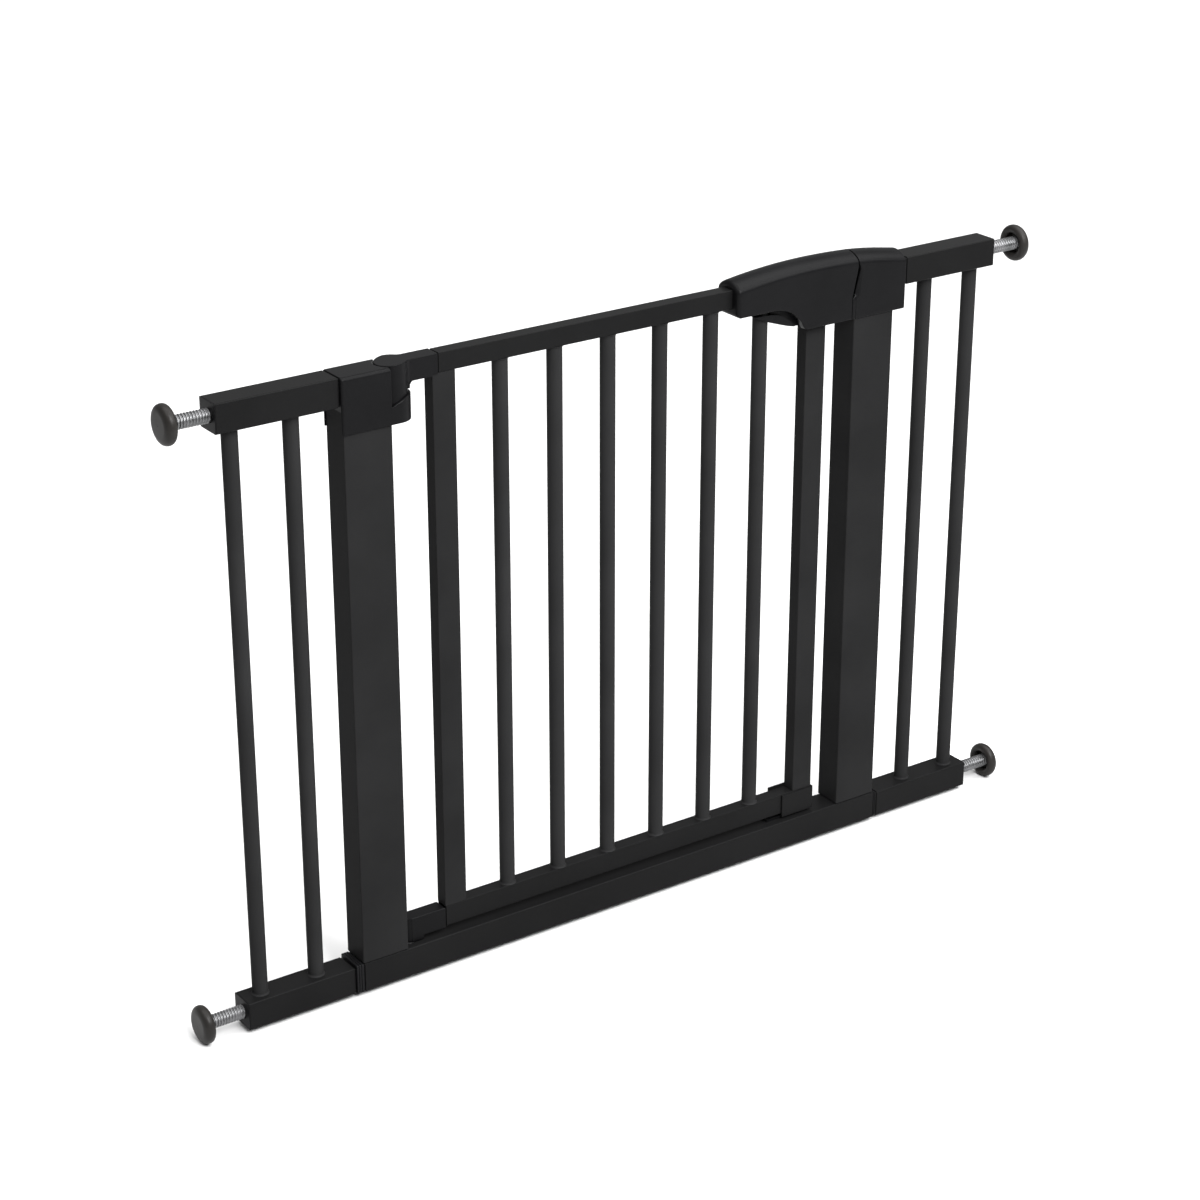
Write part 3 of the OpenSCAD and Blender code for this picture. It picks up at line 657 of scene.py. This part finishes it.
def build_lower_block():
    """Lower hinge leaf on the base bar."""
    lo, hi = lo_mm("lower_hinge_block"), hi_mm("lower_hinge_block")
    y, z0, z1 = hi.y, lo.z + 0.2, hi.z
    # its underside steps up beyond the foot
    foot_x, end_x, step = -289.3, -260.4, z0 + 4.8
    prof = [(HINGE_X, z0), (foot_x, z0), (foot_x, step), (end_x, step), (end_x, z1), (HINGE_X, z1)]
    bm = prism("y", prof, -y, y)
    # the end away from the pin is rounded, most of all along the top
    soften(bm, 2.2, lambda m, w: m.x > HINGE_X + 0.5 and m.z > z1 - 0.1, steps=4)
    soften(bm, 0.8, lambda m, w: m.x > HINGE_X + 0.5 and m.z < z1 - 3, steps=2)
    ob = as_object(bm, "lower_hinge_block_skin")
    nose = lathe("z", [(8.0, z0), (9.0, z0 + 0.4), (9.4, z0 + 1.4), (9.4, z1 - 1.4), (9.0, z1 - 0.4),
                       (8.0, z1 - 0.02)], HINGE_X, 0, sides=60, loop=False)
    combine(ob, nose, how="UNION")
    finish_piece(ob, "door", ["lower_hinge_block"], PLASTIC)


# ---------------------------------------------------------------- handle and lock housing
# the crown is an arc of this centre and radius, whose radius shrinks towards the sides
CROWN_X, CROWN_Z = 250.0, 14.0
CROWN_R, CROWN_DROP = 740.0, 9.0
HANDLE_X0, HANDLE_X1 = 134.0, 299.6
# heights between which the handle's right end leans over, and how far it leans
LEAN_Z0, LEAN_Z1, LEAN = 700.5, 735.8, 7.8
# lower edge of the handle, with the arch over the trigger
HANDLE_LOW = [(HANDLE_X0, 705.0), (190.0, 705.0), (193.0, 704.7), (196.0, 703.9), (200.0, 702.9),
              (204.0, 701.6), (207.0, 700.4), (210.0, 699.0), (213.0, 697.1), (216.0, 694.8),
              (218.5, 692.7), (221.5, 690.0), (224.8, 686.5), (227.2, 682.8), (229.2, 678.9),
              (230.6, 676.6), (232.0, 675.4), (233.6, 674.7), (236.0, 674.5),
              (HANDLE_X1, 674.5)]


def crown(x, y):
    """Height of the top at a point."""
    r = CROWN_R - CROWN_DROP * (y / HALF_Y) ** 2
    return CROWN_Z + math.sqrt(r * r - (x - CROWN_X) ** 2)


def half_section(x, low, inset, gap=0.0):
    """Outline (y, z) of one half of the handle's cross-section, from its foot up to the crown."""
    edge, side_steps = 3.6, 22
    w = HALF_Y - inset
    zb = low + inset
    foot = max(1.6 - inset * 0.4, 0.6)
    # underside and the rounding at its edge
    pts = [(gap, zb)]
    pts += [(w - foot + foot * math.sin(t), zb + foot - foot * math.cos(t))
            for t in (math.radians(90 * i / 5) for i in range(6))]
    # flank
    top = crown(x, w) - inset
    z_side = top - edge
    z0 = zb + foot
    pts += [(w, z0 + (z_side - z0) * i / side_steps) for i in range(1, side_steps)]
    # ridge, a quadratic curve from the flank to the crown
    start, ctrl = (w, z_side), (w, top)
    end = (w - edge, crown(x, w - edge) - inset)
    for i in range(8):
        t = i / 7
        pts.append(tuple((1 - t) ** 2 * start[k] + 2 * t * (1 - t) * ctrl[k] + t * t * end[k]
                         for k in (0, 1)))
    # crown
    for i in range(1, 9):
        y = (w - edge) + (gap - (w - edge)) * i / 8
        pts.append((y, crown(x, y) - inset))
    return pts


def slant(z):
    """How far the handle's slanted right end leans over at a height."""
    return LEAN * min(1.0, max(0.0, (z - LEAN_Z0) / (LEAN_Z1 - LEAN_Z0)))


def end_caps(bm, rows, count):
    """Closes both ends of a shell with level strips; count is the number of its outer points."""
    for row, flip in ((rows[0], True), (rows[-1], False)):
        outer = row[:count]
        inner = [row[0], row[0]] + row[count:][::-1] + [row[count - 1]]
        for k in range(1, count - 1):
            quad = [outer[k], outer[k + 1], inner[k + 1], inner[k]]
            seen = []
            for v in quad:
                if v not in seen:
                    seen.append(v)
            if len(seen) > 2:
                bm.faces.new(seen[::-1] if flip else seen)


def handle_half(side):
    """One shell of the handle, lofted along X from the handle's left end; side is -1 in front."""
    r_end, gap, chamfer = 5.0, 0.06, 0.4
    lean_from = 240
    xs = [HANDLE_X0 + r_end * (1 - math.cos(math.radians(90 * i / 7))) for i in range(8)]
    xs += [146, 154, 162, 170, 178, 184] + [x for x, _ in HANDLE_LOW[1:-1]]
    xs += [244, 252, 260, 268, 276, 284, 290, 295, 298, HANDLE_X1 - chamfer, HANDLE_X1]
    bm = bmesh.new()
    rows = []
    for x in xs:
        t = min(r_end, x - HANDLE_X0)
        inset = r_end - math.sqrt(max(0.0, r_end ** 2 - (r_end - t) ** 2))
        inset = max(inset, 0.35 * max(0.0, (x - (HANDLE_X1 - chamfer)) / chamfer))
        half = half_section(x, along(HANDLE_LOW, x), inset, gap=gap)
        back = [(gap, z) for _, z in half[2:-1]][::-1]
        lean = min(1.0, max(0.0, (x - lean_from) / (HANDLE_X1 - lean_from)))
        rows.append([bm.verts.new(Vector((x + lean * slant(z), side * y, z)) * MM)
                     for y, z in half + back])
    count = len(half)
    n = len(rows[0])
    for a, b in zip(rows, rows[1:]):
        for i in range(n):
            j = (i + 1) % n
            bm.faces.new((a[i], a[j], b[j], b[i]))
    end_caps(bm, rows, count)
    return bm


def handle_cuts():
    """Room for the rail, stile, bar and trigger inside the handle."""
    room = STILE_DEPTH / 2 + 0.3
    rail = box_prism(120, 303.5, -room, room, 713.7, 736.6)
    stile = box_prism(242.1, 271.2, -room, room, 670, 720)
    bar = lathe("z", [(BAR_HOLE_R, 665.0), (BAR_HOLE_R, 716.0)], TRIGGER_BAR, 0, loop=False)
    mouth = box_prism(156, 238, -12.5, 12.5, 665, 720)
    return rail, stile, bar, mouth


def build_handle():
    """The two shells; the back one has the bolt's way out and the screws' recesses."""
    for side, node in ((-1, "handle_front_shell"), (1, "handle_back_shell")):
        ob = as_object(handle_half(side), node + "_skin")
        combine(ob, *handle_cuts())
        if side > 0:
            bolt_way = box_prism(285, 315, 12.5, 17.7, 712.7, 721.3)
            head_r = 3.3
            heads = [lathe("y", [(head_r, 17.9), (head_r, 24.0)], x, z, loop=False)
                     for x, z in ((147, 709.6), (284, 688), (240, 739.8))]
            combine(ob, bolt_way, *heads)
        finish_piece(ob, "door", [node], PLASTIC)


def build_trigger():
    """Squeeze paddle that fills the arch under the handle."""
    low = [(158, 703), (160.5, 701.4), (163, 700), (169, 696.9), (176, 693.5), (184, 690.1),
           (193, 687), (203, 683.6), (213, 680.4), (221, 678.5), (228, 677.3), (234, 677)]
    half, top = 12, 708.5
    bm = prism("y", low + [(low[-1][0], top), (low[0][0], top)], -half, half)
    soften(bm, 1.5, lambda m, w: m.z < 703.2 and abs(w.y) < 0.5, steps=3)
    ob = as_object(bm, "release_trigger_skin")
    # the hole round the bar opens upwards, to clear the bar's flared top when squeezed
    wide_r = BAR_HOLE_R + 2.0
    hole = lathe("z", [(BAR_HOLE_R, 665.0), (BAR_HOLE_R, 694.0), (wide_r, 696.5),
                       (wide_r, 716.0)], TRIGGER_BAR, 0, loop=False)
    spring_room = lathe("z", [(4, 694.0), (4, 712.0)], 205, 0, loop=False)
    # the paddle's face ends below the handle's arch, with a dark groove between them
    groove = [(150, 699.2), (170, 699.0), (188, 698.2), (196, 697.0), (202, 694.9), (208, 691.8),
              (214, 687.6), (219, 683.4), (223, 678.6), (225, 672), (240, 672), (240, 714),
              (150, 714)]
    core = 7.5
    combine(ob, hole, spring_room, prism("y", groove, -half - 2, -core),
            prism("y", groove, core, half + 2))
    finish_piece(ob, "trigger", ["release_trigger"], PLASTIC)


def build_lock_housing():
    """Cap of the right post; s runs along X from its left end, which leans with the handle's."""
    lo, hi = lo_mm("lock_housing"), hi_mm("lock_housing")
    x_end, low = hi.x, lo.z
    r_end, seam_depth = 1.2, 0.5
    seam_at, seam_top = 4.7, 700.0
    slit_foot, slit_top = 700.6, 738.5
    xs = [0, 0.25, 0.6, 1.5, 3, 4.4, seam_at, 5.0, 6, 7.5, 9, 10.5, 13, 18, 26, 36, 46, 56, 64, 70,
          74, 77.2, 77.6, 78.0, 78.3, 78.5, 78.6]
    rows = []
    for s in xs:
        x = lo.x + s
        t = min(r_end, max(0.0, x_end - x))
        inset = r_end - math.sqrt(max(0.0, r_end ** 2 - (r_end - t) ** 2))
        inset = max(inset, 0.35 * max(0.0, 1 - s / 0.6))
        lean = min(1.0, max(0.0, 1 - s / 66))
        row = []
        for y, z in half_section(x, low, inset):
            # the end stands back from the handle's, which leaves a slit, widest on the flank
            flank = min(1.0, max(0.0, (y - 14) / 5))
            wide = flank * min(1.0, max(0.0, (slit_top - z) / 3))
            step = 0.0 if z < slit_foot else 0.9 + 2.6 * wide
            # beside the slit runs a shallow bevel, which fades out upwards
            fade = min(1.0, max(0.0, (z - 699.5) / 4)) * min(1.0, max(0.0, (742 - z) / 36))
            reach = 1.0 + 5.0 * fade
            dent = 0.0
            if z > slit_foot:
                dent = flank * 2.4 * fade * max(0.0, 1 - s / reach)
            # a fine score line runs on below the slit
            if s == seam_at and z < seam_top and y > 19:
                dent = seam_depth
            row.append((x + lean * (step + slant(z)), y - dent, z))
        mirrored = [(px, -py, pz) for px, py, pz in row[1:-1]][::-1]
        rows.append(row + mirrored)
    ob = as_object(skin(rows), "lock_housing_skin")
    # room for the strike plate, and an undercut behind the slit
    strike = box_prism(299, 318, 12, 18.2, 711.5, 722.5)
    near, low_z, high_z = HANDLE_X1 + 0.5, 703, 734
    behind = [(near + slant(low_z), low_z), (near + 6.5 + slant(low_z), low_z),
              (near + 5.5 + slant(high_z), high_z), (near + slant(high_z), high_z)]
    combine(ob, strike, prism("y", behind, -18.0, -12.5))
    finish_piece(ob, "frame", ["lock_housing"], PLASTIC)


build_frame()
build_collar()
build_fixings()
build_door()
build_fork()
build_hinge_housing()
build_hinge_arm()
build_lower_block()
build_handle()
build_trigger()
build_lock_housing()

# ---------------------------------------------------------------- carried-over CAD nodes
slot_of = {s["node"]: s["material_slot"] for s in frame["record"]["subparts"]}
for name, ob in frame["nodes"].items():
    ob.data.materials.clear()
    ob.data.materials.append(LOOKS[slot_of[name]])
    edge = ob.modifiers.new("edge", "BEVEL")
    edge.width = 0.3 * MM
    edge.segments = 2
    edge.limit_method = "ANGLE"
    edge.angle_limit = math.radians(40)

# ---------------------------------------------------------------- floor, light and camera
span = 14.0
floor_mesh = bpy.data.meshes.new("floor")
floor_mesh.from_pydata([(-span, -span, 0), (span, -span, 0), (span, span, 0), (-span, span, 0)],
                       [], [(0, 1, 2, 3)])
floor = bpy.data.objects.new("floor", floor_mesh)
scene.collection.objects.link(floor)
floor_mat, _, _, floor_shader, _ = new_material("pale_floor")
floor_shader.inputs["Base Color"].default_value = (0.57, 0.57, 0.57, 1)
floor_shader.inputs["Roughness"].default_value = 0.9
floor_shader.inputs["Specular IOR Level"].default_value = 0.1
floor_mesh.materials.append(floor_mat)

world = bpy.data.worlds.new("studio")
scene.world = world
world.use_nodes = True
sky = world.node_tree.nodes["Background"]
sky.inputs["Color"].default_value = (1, 1, 1, 1)
sky.inputs["Strength"].default_value = 0.35


def area_light(name, where, target, size, power):
    """Softbox at a place, turned towards a target."""
    data = bpy.data.lights.new(name, "AREA")
    data.shape = "RECTANGLE"
    data.size, data.size_y = size
    data.energy = power
    lamp = bpy.data.objects.new(name, data)
    lamp.location = where
    aim = Vector(target) - Vector(where)
    lamp.rotation_euler = aim.to_track_quat("-Z", "Y").to_euler()
    scene.collection.objects.link(lamp)


def soft_sun(name, way, strength, angle):
    """Distant light that shines along a direction, as soft as its angle is wide."""
    data = bpy.data.lights.new(name, "SUN")
    data.energy, data.angle = strength, math.radians(angle)
    lamp = bpy.data.objects.new(name, data)
    lamp.rotation_euler = Vector(way).to_track_quat("-Z", "Y").to_euler()
    scene.collection.objects.link(lamp)


soft_sun("overhead", (0.05, 0.08, -1.0), 4.0, 70)
area_light("key", (-0.2, -2.7, 3.0), (0, 0, 0.4), (1.6, 1.6), 226)
area_light("ridge_softbox", (2.2, -2.4, 3.0), (0, 0, 0.7), (2.0, 2.0), 85)
area_light("back_softbox", (1.5, 2.4, 2.6), (0, 0, 0.7), (3.2, 3.0), 8)
area_light("side_softbox", (2.3, -0.5, 3.7), (0, 0, 0.7), (2.6, 2.6), 85)

view = bpy.data.cameras.new("camera")
view.sensor_width = 36
view.lens = 84.345
view.clip_end = 60
camera = bpy.data.objects.new("camera", view)
camera.location = (-1.7068, -2.4147, 1.6717)
camera.rotation_euler = (math.radians(66.536), 0, math.radians(-34.617))
scene.collection.objects.link(camera)
scene.camera = camera
# tones stay as they are lit, with no film curve
scene.view_settings.view_transform = "Standard"
